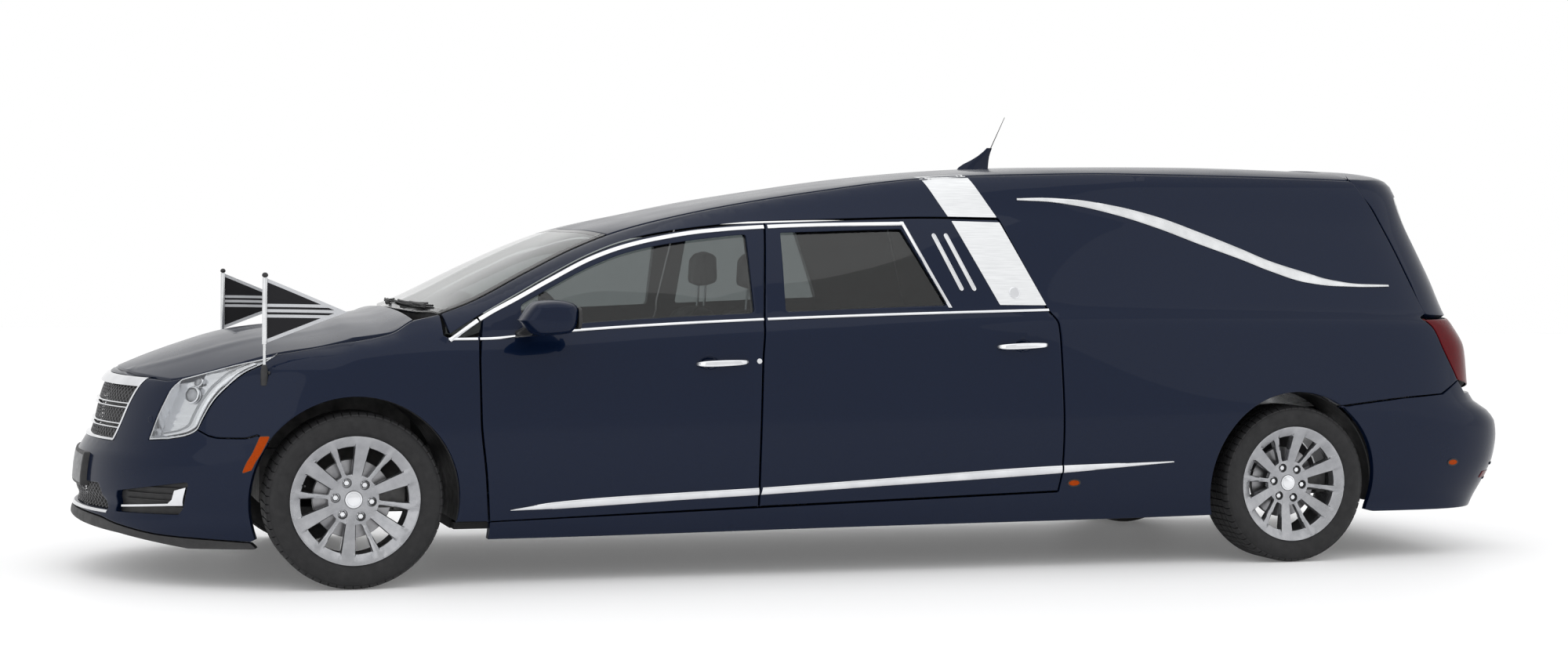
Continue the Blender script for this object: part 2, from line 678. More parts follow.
# The sill's box, the hinge post ahead of the front door and the centre pillar behind the doors' edges
sill_top = height(LOW_SHARES[1][2])
joined(body, block("sill", (station_x(SILL_REAR_SHARE), CABIN_HALF_WIDTH, height(SILL_BOX_SHARES[0])),
                   (station_x(SILL_FRONT_SHARE), HALF_WIDTH - BODY_WALL + SKIN, height(SILL_BOX_SHARES[1]))))
joined(body, side_shell("hinge_post", station_x(POST_SHARES[0]), station_x(POST_SHARES[1]),
                        spread(0.4, 4.1, 7), 2, (FENDER_WALL + SEAT, BODY_WALL + SKIN)))
joined(body, block("post_box", (station_x(POST_SHARES[1]), CABIN_HALF_WIDTH, height(SILL_BOX_SHARES[0]) + SKIN),
                   (station_x(POST_SHARES[0]), HALF_WIDTH - BODY_WALL - SKIN, height(POST_TOP_SHARE))))

def pillar_x(side):
    """Edge of the centre pillar, which leans back above the belt as the doors' edges do."""
    lean = station_x(PILLAR_TOP_SHARE) - station_x(PILLAR_SHARES[0][0])
    return lambda level: station_x(PILLAR_SHARES[0][0]) + side * PILLAR_HALF_WIDTH + lean * max(level - BELT, 0.0)


def pillar_depth(level):
    return (DOOR_FRAME_WALL if level > BELT else DOOR_WALL) + SHUT_GAP


joined(body, side_shell("pillar", pillar_x(1), pillar_x(-1), (0.7,) + DOOR_LEVELS[1:], 2,
                        (pillar_depth, lambda level: pillar_depth(level) + PILLAR_WALL)))
for hinge in (front_hinge, rear_hinge):
    reach = (HINGE_REACH if hinge is front_hinge else HINGE_PLATE, SHUT_GAP / 2 - DOOR_CORE_INSET)
    plates = hinge_plates(hinge[0], hinge[1], reach, False)
    if hinge is rear_hinge:
        for share in HINGE_HEIGHT_SHARES:
            z = height(share)
            plates.append(block("arm", (hinge[0] - HINGE_PLATE, HALF_WIDTH - BODY_WALL - PILLAR_WALL, z - HINGE_PLATE),
                                (hinge[0] + HINGE_PLATE, HALF_WIDTH - HINGE_INBOARD - HINGE_PLATE, z)))
    joined(body, *plates)


def edge_y(x):
    return section(x, False)[EDGE][0]


def screen_top_x(y):
    """Where the windscreen meets the roof, bowed forward in the middle."""
    return station_x(SCREEN_TOP_SHARE) - SCREEN_BOW * (y / HALF_WIDTH) ** 2


SCREEN_BASE_SHARE = 0.0625
SCREEN_SIDE_SHARE = 0.083
SCREEN_TOP_SHARE = 0.2405
SCREEN_BOW = 0.150
PANEL_GAP = 0.006


def top_shell(name, front_x, rear_x, rows, columns, depths, edge, material=None):
    """A shell of the windscreen or roof across the car. front_x and rear_x are functions of the share across."""
    grids = []
    for depth in depths:
        grid = []
        for share in spread(-1.0, 1.0, rows):
            line = []
            for part in spread(0.0, 1.0, columns):
                x = front_x(share) + (rear_x(share) - front_x(share)) * part
                y = share * (edge_y(x) - edge)
                line.append(Vector((x, y, top_z(x, y) - depth)))
            grid.append(line)
        grids.append(grid)
    return shell(name, grids[0], grids[1], material, "rows")


def flange(front_x, rear_x, depth, columns):
    """A ledge on the body side that carries the windscreen or the roof."""
    grids = []
    for drop in (depth, depth + FLANGE_WALL):
        grids.append([[Vector((x, edge_y(x) + out, top_z(x, edge_y(x) + out) - drop - lower))
                       for x in spread(front_x, rear_x, columns)]
                      for out, lower in ((FLANGE_LIP, FLANGE_LIP), (0.0, 0.0), (-FLANGE_WIDTH, 0.0))])
    return shell("flange", grids[0], grids[1])


def screen_base(share):
    return (station_x(SCREEN_BASE_SHARE)
            + (station_x(SCREEN_SIDE_SHARE) - station_x(SCREEN_BASE_SHARE)) * share ** 2)


def screen_rear(share):
    return screen_top_x(share * edge_y(station_x(SCREEN_TOP_SHARE)))


def roof_front(share):
    return screen_rear(share) - PANEL_GAP


ROOF_REAR_X = station_x(TAIL_LINE_SHARES[0][0]) + SHUT_GAP / 2


def roof_rear(share):
    return ROOF_REAR_X


windscreen = top_shell("windscreen", screen_base, screen_rear, 11, 9, (0.0, GLASS), PANEL_GAP, TINTED)
roof = top_shell("roof", roof_front, roof_rear, 9, 13, (0.0, ROOF_WALL), PANEL_GAP, NAVY)
header = top_shell("header", lambda share: screen_rear(share) + FLANGE_WIDTH,
                   lambda share: roof_front(share) - SKIN, 7, 3, (GLASS + SEAT, GLASS + FLANGE_WALL),
                   PANEL_GAP + FLANGE_WIDTH + SKIN)
joined(roof, header)
side_end = screen_rear(1.0)
joined(body, flange(station_x(SCREEN_SIDE_SHARE) - SKIN, side_end + SKIN, GLASS + SEAT, 8),
       flange(side_end - SKIN, ROOF_REAR_X, ROOF_WALL + SEAT, 14))

cleared(roof, windscreen, SEAT)
cleared(body, roof, SEAT)
cleared(body, windscreen, SEAT)

# A low fin aerial near the roof's rear quarter, with its whip
FIN_SHARE = 0.7155
FIN_LENGTH = 0.150
FIN_WIDTH = 0.030
FIN_HEIGHT = 0.095
WHIP_RADIUS = 0.0025
WHIP_LENGTH = 0.160
WHIP_LEAN = 0.075
fin_x = station_x(FIN_SHARE)
fin_z = top_z(fin_x, 0.0)
fin = prism("fin", [(fin_x + FIN_LENGTH / 2, fin_z - SKIN), (fin_x - FIN_LENGTH / 2, fin_z - SKIN),
                    (fin_x - FIN_LENGTH / 2, fin_z + FIN_HEIGHT * 0.5),
                    (fin_x - FIN_LENGTH * 0.62, fin_z + FIN_HEIGHT),
                    (fin_x - FIN_LENGTH * 0.45, fin_z + FIN_HEIGHT),
                    (fin_x - FIN_LENGTH * 0.1, fin_z + FIN_HEIGHT * 0.42)], -FIN_WIDTH / 2, FIN_WIDTH / 2)
whip_foot = Vector((fin_x - FIN_LENGTH * 0.52, 0.0, fin_z + FIN_HEIGHT * 0.8))
whip_tip = whip_foot + Vector((-WHIP_LEAN, 0.0, WHIP_LENGTH))
joined(roof, fin, rod("whip", whip_foot, whip_tip, WHIP_RADIUS, 8))

# Wheel housing behind the rear wheels' arch
housing = prism("housing", arch_points(REAR_AXLE_X, ARCH_RADIUS + LINER_WALL, -12, 192, 14)
                + arch_points(REAR_AXLE_X, ARCH_RADIUS, 192, -12, 14),
                LINER_INNER_Y, HALF_WIDTH - BODY_WALL + SKIN)
joined(body, housing)

# Front wings: the shell over the wheel, its liner, and the line shared with the bumper and headlamp
LAMP_TOP_SHARES = [(-0.637, 0.740), (-0.551, 0.773), (-0.435, 0.794), (-0.284, 0.820)]
LAMP_FOOT_SHARES = [(-0.354, 0.781), (-0.436, 0.743), (-0.482, 0.694), (-0.522, 0.645), (-0.556, 0.595),
                    (-0.584, 0.563), (-0.624, 0.550)]
LAMP_NOSE_SHARES = [(-0.742, 0.536), (-0.715, 0.614), (-0.682, 0.684)]
HOOD_LINE_SHARES = [(-0.767, 0.724), (-0.665, 0.724), (-0.290, 0.823), (-0.076, 0.859), (0.036, 0.899),
                    (0.058, 0.945)]
WING_TOP_SHARES = [(0.075, 0.900), (0.088, 0.884)]
WING_SEAM_SHARE = (-0.500, 0.668)
SEAM_ANGLE = 152.0
WING_FOOT_ANGLE = -13.5
LINER_INBOARD = 0.450

lamp_line = side_outline(LAMP_TOP_SHARES + LAMP_FOOT_SHARES + LAMP_NOSE_SHARES)
arch_over = arch_points(FRONT_AXLE_X, ARCH_RADIUS, WING_FOOT_ANGLE, SEAM_ANGLE, 14)
belt_run = [(station_x(s), belt_z(station_x(s))) for s in spread(0.0885, 0.1195, 3)]
wing_line = (side_outline(HOOD_LINE_SHARES[2:] + WING_TOP_SHARES) + belt_run
             + side_outline(DOOR_FRONT_SHARES[1:]) + arch_over + side_outline([WING_SEAM_SHARE]) + side_outline(LAMP_FOOT_SHARES[2::-1]))
wing = side_shell("fender_left", station_x(-0.62), station_x(0.135),
                  (0.5, 1.0, 1.5, 2.0, 2.6, 3.0, 3.5, 4.0, 4.5, 5.0), 13, (0.0, FENDER_WALL), True, NAVY)
kept(wing, prism("line", inset(wing_line, SHUT_GAP / 2), *LEFT))
liner = prism("liner", arch_points(FRONT_AXLE_X, ARCH_RADIUS + LINER_WALL, WING_FOOT_ANGLE + 1, SEAM_ANGLE - 1, 14)
              + arch_points(FRONT_AXLE_X, ARCH_RADIUS, SEAM_ANGLE - 1, WING_FOOT_ANGLE + 1, 14),
              LINER_INBOARD, HALF_WIDTH * 0.955)
joined(wing, liner)

# Hood: hinged along its rear edge, its corners cut to the wings' line
HOOD_NOSE_SHARE = -0.830
HOOD_CORNER_SHARE = -0.665
HOOD_REAR_SHARE = 0.0585
HOOD_CENTRE_SHARES = [(-0.830, 0.744), (-0.703, 0.793), (-0.591, 0.831), (-0.420, 0.880), (0.026, 0.952),
                      (0.059, 0.977)]
HOOD_CROWN = 2.2
HOOD_HINGE_Y = 0.600
HOOD_TAB_DROP = 0.025
GATE_TAB_DROP = 0.060
TAB_WALL = 0.012
TAB_LENGTH = 0.050


def hood_edge(x):
    """(y, z) of the line between the hood and the wing."""
    z = guide_point(FENDER_TOP_SHARES, x_station(x), 0.0, BELT_HEIGHT)[1]
    if x > NOSE_X:
        return side_point(x, TOP, True).y, z
    return guide_point(FENDER_TOP_SHARES, x_station(x), 0.0, BELT_HEIGHT)[0], z


def hood_z(x, y):
    edge, low = hood_edge(x)
    crown = read_rows(HOOD_CENTRE_SHARES, x_station(x))[0] * BELT_HEIGHT
    return crown - (crown - low) * (abs(y) / edge) ** HOOD_CROWN


def hood_shell(name, front_inset, side_inset, depths, rows, columns, material=None):
    grids = []
    for depth in depths:
        grid = []
        for share in spread(-1.0, 1.0, rows):
            nose = station_x(HOOD_NOSE_SHARE) - front_inset
            nose -= (station_x(HOOD_NOSE_SHARE) - station_x(HOOD_CORNER_SHARE)) * share ** 2
            line = []
            for part in spread(0.0, 1.0, columns):
                x = nose + (station_x(HOOD_REAR_SHARE) + SHUT_GAP / 2 - nose) * part
                y = share * (hood_edge(x)[0] - side_inset)
                line.append(Vector((x, y, hood_z(x, y) - depth)))
            grid.append(line)
        grids.append(grid)
    return shell(name, grids[0], grids[1], material, "rows")


hood = hood_shell("hood", SHUT_GAP, SHUT_GAP, (0.0, HOOD_WALL), 9, 9, NAVY)
hood_hinge_x = station_x(HOOD_REAR_SHARE) + SHUT_GAP / 2
hood_hinge_z = HOOD_CENTRE_SHARES[-1][1] * BELT_HEIGHT + SEAT
tab_x = hood_hinge_x + TAB_LENGTH / 2
tab_z = hood_z(tab_x, HOOD_HINGE_Y) - HOOD_WALL
for side in (-1, 1):
    y_inner, y_outer = sorted((side * HOOD_HINGE_Y, side * (HOOD_HINGE_Y + TAB_WALL)))
    joined(hood, block("tab", (tab_x - TAB_LENGTH / 3, y_inner, tab_z - HOOD_TAB_DROP),
                       (tab_x + TAB_LENGTH / 2, y_outer, tab_z + HOOD_WALL / 2)))

# Cowl: the cross member under the hood's rear edge, which carries the windscreen's foot and the hood's hinges
COWL_FRONT = 0.075
COWL_REAR = 0.075
COWL_DEPTH = 0.110
COWL_TOP_DROP = 0.045
cowl_front_x = station_x(HOOD_REAR_SHARE) + COWL_FRONT
cowl_rear_x = station_x(HOOD_REAR_SHARE) - COWL_REAR
cowl_top = hood_z(hood_hinge_x, HOOD_HINGE_Y) - HOOD_WALL - COWL_TOP_DROP
cowl_half = CABIN_HALF_WIDTH - SEAT
cowl = block("cowl", (cowl_rear_x, -cowl_half, cowl_top - COWL_DEPTH), (cowl_front_x, cowl_half, cowl_top),
             BLACK_TRIM)
screen_rest = top_shell("rest", lambda share: screen_base(share) - SKIN,
                        lambda share: screen_base(share) - SKIN - FLANGE_WALL, 9, 2,
                        (GLASS + SEAT, COWL_DEPTH), PANEL_GAP + FLANGE_WIDTH + SKIN)
joined(cowl, screen_rest)
cleared(cowl, windscreen, SEAT)
plain_hood = hood_shell("plain_hood", SHUT_GAP, SHUT_GAP, (0.0, HOOD_WALL), 9, 9)
cleared(cowl, plain_hood, MOVING_GAP)
for side in (-1, 1):
    start = side * (HOOD_HINGE_Y + TAB_WALL + SEAT)
    y_inner, y_outer = sorted((start, start + side * TAB_WALL))
    joined(cowl, block("ear", (tab_x - TAB_LENGTH / 3, y_inner, cowl_top - SKIN),
                       (tab_x + TAB_LENGTH / 3, y_outer, tab_z - 2 * SHUT_GAP)))

cleared(wing, plain_hood, MOVING_GAP)

# Front bumper, with the grille's mouth, the lower intake and the lamp recesses cut in
NOSE_HEIGHT_SHARES = (0.135, 0.20, 0.214, 0.28, 0.31, 0.45, 0.475, 0.52, 0.62, 0.72)
BUMPER_STEPS = 17
GRILLE_SHARES = [(-0.40, 0.700), (0.40, 0.700), (0.345, 0.478), (-0.345, 0.478)]
INTAKE_SHARES = [(-0.40, 0.345), (0.40, 0.345), (0.46, 0.255), (-0.46, 0.255)]
FOG_SHARES = [(-0.873, 0.355), (-0.611, 0.387), (-0.616, 0.316), (-0.650, 0.271), (-0.867, 0.280)]
FOG_INNER_Y = 0.520
FOG_DEPTH = 0.025
BUMPER_FOOT_SHARES = [(-0.407, 0.135)]
GRILLE_WALL = 0.030


def front_outline(shares):
    """Front view points (y, z) from (share of HALF_WIDTH, share of BELT_HEIGHT)."""
    return [(y * HALF_WIDTH, z * BELT_HEIGHT) for y, z in shares]


def wrapped_shell(name, point, shares, steps, depths, turn=90.0, material=None):
    """A shell wrapped round the nose or the tail between two height shares."""
    turns = spread(-math.radians(turn), math.radians(turn), steps)
    grids = [[[point(height(share), angle, depth) for angle in turns] for share in shares] for depth in depths]
    return shell(name, grids[0], grids[1], material, "columns")


nose_front = station_x(-1) + OVERRUN
bumper_line = (arch_points(FRONT_AXLE_X, ARCH_RADIUS, 210, SEAM_ANGLE, 9) + side_outline([WING_SEAM_SHARE])
               + side_outline(LAMP_FOOT_SHARES[2:]) + side_outline(LAMP_NOSE_SHARES)
               + [(station_x(HOOD_CORNER_SHARE), height(0.718)), (nose_front, height(0.718)),
                  (nose_front, height(0.13)), (station_x(-0.407), height(0.13))])
bumper = wrapped_shell("front_bumper", nose_point, NOSE_HEIGHT_SHARES, BUMPER_STEPS, (0.0, BUMPER_WALL),
                       material=NAVY)
kept(bumper, prism("line", inset(bumper_line, SEAT / 2), -FAR, FAR))
cleared(bumper, plain_hood, MOVING_GAP)
mouth_back = station_x(-0.60)
cut(bumper, prism("mouth", front_outline(GRILLE_SHARES), mouth_back, nose_front, "X"),
    prism("intake", front_outline(INTAKE_SHARES), mouth_back, nose_front, "X"))
for side in (-1, 1):
    y_inner, y_outer = sorted((side * FOG_INNER_Y, side * FAR))
    fog = wrapped_shell("fog", nose_point, (0.24, 0.28, 0.31, 0.36, 0.40), BUMPER_STEPS, (-OVERRUN, FOG_DEPTH))
    kept(fog, prism("line", side_outline(FOG_SHARES), y_inner, y_outer))
    cut(bumper, fog)

RAIL_Y = 0.410
RAIL_WIDTH = 0.060
RAIL_TOP = 0.500
RAIL_FOOT = 0.430
RAIL_NOSE_SHARE = -0.760
for side in (-1, 1):
    y_inner, y_outer = sorted((side * (RAIL_Y - RAIL_WIDTH / 2), side * (RAIL_Y + RAIL_WIDTH / 2)))
    crash_x = nose_point(RAIL_FOOT, math.asin(RAIL_Y / HALF_WIDTH), BUMPER_WALL / 2).x
    joined(bumper, block("crash_box", (station_x(RAIL_NOSE_SHARE) + SEAT, y_inner, RAIL_FOOT),
                         (crash_x, y_outer, RAIL_TOP)))

# Grille: a bright surround, a recessed field with three rows of openings, and double bars between the rows
GRILLE_FRAME = 0.022
GRILLE_PROUD = 0.006
FIELD_DEPTHS = (0.012, 0.020)
BAR_DEPTHS = (0.001, 0.016)
BAR_WIDTH = 0.006
BAR_SPACING = 0.016
GRILLE_ROWS = 3
GRILLE_COLUMNS = 7
RIB_SHARE = 0.14
FRAME_STEPS = 7
grille_low = height(GRILLE_SHARES[2][1]) + SEAT
grille_high = height(GRILLE_SHARES[0][1]) - SEAT


def grille_half(z):
    """Half-breadth of the grille's mouth at a height."""
    low_y, high_y = GRILLE_SHARES[2][0], GRILLE_SHARES[1][0]
    share = (z - grille_low) / (grille_high - grille_low)
    return (low_y + (high_y - low_y) * share) * HALF_WIDTH - SEAT * 2


def grille_point(y, z, depth):
    return nose_point(z, math.asin(y / (half_width_at(NOSE_SECTION, z) - depth)), depth)


def pierced(name, edge, shares, heights, openings, depths, material=None):
    """A curved plate of cells, some of them open. edge is how far it stays inside the mouth's sides."""
    points = []
    for depth in depths:
        for z in heights:
            points += [grille_point(share * (grille_half(z) - edge), z, depth) for share in shares]
    across_count, up_count = len(shares), len(heights)
    back = across_count * up_count
    filled = {(c, r) for c in range(across_count - 1) for r in range(up_count - 1)} - set(openings)
    faces = []
    for c, r in sorted(filled):
        a, b = r * across_count + c, r * across_count + c + 1
        d, e = b + across_count, a + across_count
        faces += [[a, b, d, e], [back + e, back + d, back + b, back + a]]
        for neighbour, edge_points in (((c, r - 1), (a, b)), ((c + 1, r), (b, d)), ((c, r + 1), (d, e)),
                                       ((c - 1, r), (e, a))):
            if neighbour not in filled:
                first, second = edge_points
                faces.append([second, first, back + first, back + second])
    return solid(name, points, faces, material)


frame_share = 1 - GRILLE_FRAME / grille_half(grille_high)
frame_shares = [-1.0] + spread(-frame_share, frame_share, FRAME_STEPS) + [1.0]
frame_heights = [grille_low, grille_low + GRILLE_FRAME, (grille_low + grille_high) / 2, grille_high - GRILLE_FRAME,
                 grille_high]
frame_openings = [(c, r) for c in range(1, FRAME_STEPS) for r in (1, 2)]
grille = pierced("grille", 0.0, frame_shares, frame_heights, frame_openings, (-GRILLE_PROUD, GRILLE_WALL), CHROME)

field_shares = [-1.0]
for column in range(GRILLE_COLUMNS):
    field_shares += [2 * (column + end) / GRILLE_COLUMNS - 1 for end in (RIB_SHARE, 1 - RIB_SHARE)]
field_shares.append(1.0)
field_low = grille_low + GRILLE_FRAME / 2
row_height = (grille_high - grille_low - GRILLE_FRAME) / GRILLE_ROWS
field_heights = [field_low]
for row in range(GRILLE_ROWS):
    field_heights += [field_low + row_height * row + BAR_SPACING, field_low + row_height * (row + 1) - BAR_SPACING]
field_heights.append(grille_high - GRILLE_FRAME / 2)
field_openings = [(2 * c + 1, 2 * r + 1) for c in range(GRILLE_COLUMNS) for r in range(GRILLE_ROWS)]
field = pierced("field", GRILLE_FRAME / 2, field_shares, field_heights, field_openings, FIELD_DEPTHS)
for row in range(1, GRILLE_ROWS):
    for offset in (-BAR_SPACING / 2, BAR_SPACING / 2):
        z = field_low + row_height * row + offset
        joined(field, pierced("bar", GRILLE_FRAME / 3, spread(-1.0, 1.0, FRAME_STEPS),
                              [z - BAR_WIDTH / 2, z + BAR_WIDTH / 2], [], BAR_DEPTHS))
joined(grille, field)

# Headlamps
LAMP_DEPTH = 0.110
headlamp = wrapped_shell("headlamp_left", nose_point, (0.52, 0.56, 0.60, 0.66, 0.70, 0.74, 0.78, 0.81, 0.84), 23,
                         (0.0, LAMP_DEPTH), material=CLEAR)
kept(headlamp, prism("line", inset(lamp_line, SEAT / 2), *LEFT))
cleared(headlamp, plain_hood, MOVING_GAP)
largest(headlamp)
bpy.data.objects.remove(plain_hood, do_unlink=True)
cleared(wing, headlamp, SEAT)
cleared(body, wing, SEAT)
mirrored(headlamp, "headlamp_right")
mirrored(wing, "fender_right")

# Rear bumper, tail lamps and the panel that carries them
TAIL_HEIGHT_SHARES = (0.19, 0.31, 0.40, 0.47, 0.54, 0.59, 0.635, 0.70)
TAIL_STEPS = 17
rear_end = station_x(2) - OVERRUN
rear_arch = arch_points(REAR_AXLE_X, ARCH_RADIUS, -18, 58, 7)
rear_line = (rear_arch + side_outline(BUMPER_TOP_SHARES[1:])
             + side_outline([LAMP_FRONT_SHARES[-1], LAMP_REAR_SHARE])
             + [(rear_end, height(LAMP_REAR_SHARE[1])), (rear_end, rear_arch[0][1])])
rear_bumper = wrapped_shell("rear_bumper", tail_point, TAIL_HEIGHT_SHARES, TAIL_STEPS, (0.0, BUMPER_WALL),
                            material=NAVY)
kept(rear_bumper, prism("line", inset(rear_line, SEAT / 2), -FAR, FAR))

cleared(body, rear_bumper, SEAT)
largest(body)
mirrored(body, "body_side_right")

LAMP_INNER_Y = 0.600
TAIL_LAMP_DEPTH = 0.090
TAIL_LAMP_TOP_SHARE = 0.974
tail_lamp_line = (side_outline(LAMP_FRONT_SHARES + [LAMP_REAR_SHARE])
                  + [(rear_end, height(LAMP_REAR_SHARE[1])), (rear_end, height(TAIL_LAMP_TOP_SHARE))])
tail_lamp = wrapped_shell("tail_lamp_left", tail_point, (0.65, 0.69, 0.74, 0.80, 0.86, 0.92, 0.96, 0.99), TAIL_STEPS,
                          (0.0, TAIL_LAMP_DEPTH), material=RED_GLASS)
kept(tail_lamp, prism("line", inset(tail_lamp_line, SEAT), LAMP_INNER_Y + SHUT_GAP / 2, FAR))
mirrored(tail_lamp, "tail_lamp_right")

# Tailgate: hinged at the roof, its glass set in a cut-out. Columns: reach, height share, width share, drop share.
GATE_TOP_SHARES = [(0.182, 1.998, 0.621, 0.085), (0.31, 1.995, 0.621, 0.083), (0.375, 1.981, 0.620, 0.070),
                   (0.402, 1.955, 0.622, 0.040)]
GATE_HEIGHT_SHARES = (1.89, 1.80, 1.64, 1.42, 1.20, 1.05, 0.977, 0.85, 0.76, 0.665)
GATE_WALL = 0.050
GATE_FOOT = (1.670, 0.982)
GATE_WINDOW_SHARES = [(-0.60, 1.80), (0.60, 1.80), (0.70, 1.12), (-0.70, 1.12)]
GATE_TAB_Y = 0.380


def gate_grid(depth):
    grid = []
    for reach, up, out, drop in GATE_TOP_SHARES:
        line = []
        for turn in spread(-math.pi / 2, math.pi / 2, TAIL_STEPS):
            bend = 2 / TAIL_SQUARENESS
            side = math.copysign(abs(math.sin(turn)) ** bend, math.sin(turn))
            x = TAIL_X - (reach * REAR_OVERHANG - depth * (1 if up < 1.98 else 0)) * abs(math.cos(turn)) ** bend
            y = (out * HALF_WIDTH - depth) * side
            line.append(Vector((x, y, height(up) - drop * GLASS_HEIGHT * abs(side) ** HOOD_CROWN - depth)))
        grid.append(line)
    for share in GATE_HEIGHT_SHARES:
        line = []
        for turn in spread(-math.pi / 2, math.pi / 2, TAIL_STEPS):
            line.append(tail_point(height(share), turn, depth))
        grid.append(line)
    return grid


gate = shell("tailgate", gate_grid(0.0), gate_grid(GATE_WALL), NAVY, "columns")
gate_line = (side_outline(TAIL_LINE_SHARES + [GATE_FOOT]) + [(station_x(GATE_FOOT[0]), height(LAMP_REAR_SHARE[1]))]
             + [(rear_end, height(LAMP_REAR_SHARE[1])), (rear_end, height(TAIL_LINE_SHARES[0][1]))])
kept(gate, prism("line", inset(gate_line, SHUT_GAP / 2), -FAR, FAR))
for side in (-1, 1):
    y_inner, y_outer = sorted((side * (LAMP_INNER_Y - SHUT_GAP / 2), side * FAR))
    cut(gate, block("lamp_room", (rear_end, y_inner, height(0.6)),
                    (station_x(1.5), y_outer, height(TAIL_LAMP_TOP_SHARE) + SHUT_GAP / 2)))
cut(gate, prism("window", front_outline(()) or [(y * HALF_WIDTH, height(z)) for y, z in GATE_WINDOW_SHARES],
                rear_end, station_x(1.45), "X"))
gate_glass = wrapped_shell("tailgate_glass", tail_point, (1.86, 1.70, 1.55, 1.40, 1.25, 1.06), TAIL_STEPS,
                           (GLASS_DEPTH / 2, GLASS_DEPTH / 2 + GLASS), 80.0, TINTED)
gate_pane = inset([(y * HALF_WIDTH, height(z)) for y, z in GATE_WINDOW_SHARES], SEAT)
kept(gate_glass, prism("line", gate_pane, rear_end, station_x(1.45), "X"))
gate_hinge_x = station_x(TAIL_LINE_SHARES[0][0]) - SHUT_GAP / 2
gate_hinge_z = height(2.0) + SEAT
gate_tab_low = gate_hinge_z - GATE_WALL - GATE_TAB_DROP
for side in (-1, 1):
    y_inner, y_outer = sorted((side * GATE_TAB_Y, side * (GATE_TAB_Y + TAB_WALL)))
    joined(gate, block("tab", (gate_hinge_x - TAB_LENGTH, y_inner, gate_tab_low),
                       (gate_hinge_x - SKIN, y_outer, gate_hinge_z - GATE_WALL / 2 - SKIN)))
    start = side * (GATE_TAB_Y + TAB_WALL + SEAT)
    y_inner, y_outer = sorted((start, start + side * TAB_WALL))
    joined(roof, prism("ear", [(gate_hinge_x - TAB_LENGTH * 0.8, gate_tab_low),
                               (gate_hinge_x - TAB_LENGTH * 0.8, gate_tab_low + GATE_TAB_DROP / 3),
                               (ROOF_REAR_X + TAB_LENGTH, gate_hinge_z - ROOF_WALL / 2 - SKIN * 2),
                               (ROOF_REAR_X + TAB_LENGTH, gate_tab_low)], y_inner, y_outer))

# Floor, with the bulkhead ahead of the cabin, the raised load floor and the panel behind the bumper
FLOOR_SHARES = [(0.100, 0.78), (0.100, 0.185), (0.855, 0.185), (0.875, 0.545), (1.70, 0.545), (1.70, 0.27),
                (1.74, 0.27), (1.74, 0.66), (1.70, 0.66), (1.70, 0.575), (0.868, 0.575), (0.848, 0.212),
                (0.113, 0.212), (0.108, 0.78)]
REAR_FLOOR_HALF = 0.655
floor = prism("floor", side_outline(FLOOR_SHARES), -REAR_FLOOR_HALF, REAR_FLOOR_HALF, material=BLACK_TRIM)
wide_floor = block("wide_floor", (station_x(0.848), -cowl_half, height(0.186)),
                   (station_x(0.1015), cowl_half, height(0.211)))
joined(floor, wide_floor)
PANEL_HALF = 0.740
joined(floor, block("rear_panel", (station_x(1.738), -PANEL_HALF, height(0.30)),
                    (station_x(1.702), PANEL_HALF, height(LAMP_REAR_SHARE[1]))))
for side in (-1, 1):
    y_inner, y_outer = sorted((side * (RAIL_Y + RAIL_WIDTH), side * (RAIL_Y + 2 * RAIL_WIDTH)))
    joined(rear_bumper, block("bracket", (station_x(1.97), y_inner, height(0.42)),
                              (station_x(1.74) - SEAT, y_outer, height(0.50))))

# Dashboard
DASH_SHARES = [(0.110, 0.880), (0.150, 0.930), (0.195, 0.885), (0.212, 0.790), (0.200, 0.640), (0.125, 0.600),
               (0.110, 0.700)]
dash = prism("dashboard", side_outline(DASH_SHARES), -cowl_half, cowl_half, material=BLACK_TRIM)

# Mirrors: a housing on an arm from each front door's corner
MIRROR_SHARES = [(0.146, 0.950), (0.164, 1.030), (0.180, 1.040), (0.199, 1.020), (0.204, 0.985), (0.203, 0.945),
                 (0.194, 0.905), (0.166, 0.897)]
MIRROR_Y = (0.945, 1.000, 1.085, 1.115)
MIRROR_SCALES = (0.72, 1.0, 0.92, 0.62)


def shrunk(outline, share):
    cx = sum(p[0] for p in outline) / len(outline)
    cz = sum(p[1] for p in outline) / len(outline)
    return [(cx + (a - cx) * share, cz + (b - cz) * share) for a, b in outline]


def lofted(name, rings, material=None):
    """A solid through rings with the same number of points, its ends closed."""
    count = len(rings[0])
    points = [p for ring in rings for p in ring]
    faces = [list(range(count)), list(range(len(points) - 1, len(points) - count - 1, -1))]
    for r in range(len(rings) - 1):
        for i in range(count):
            a, b = r * count + i, r * count + (i + 1) % count
            faces.append([a, b, b + count, a + count])
    return solid(name, points, faces, material)


def bevelled(piece, width, segments=2):
    """The piece with its edges rounded."""
    modifier = piece.modifiers.new("round", "BEVEL")
    modifier.width = width
    modifier.segments = segments
    modifier.limit_method = "ANGLE"
    bpy.context.view_layer.update()
    graph = bpy.context.evaluated_depsgraph_get()
    done = bpy.data.meshes.new_from_object(piece.evaluated_get(graph))
    piece.modifiers.clear()
    piece.data = done
    return piece


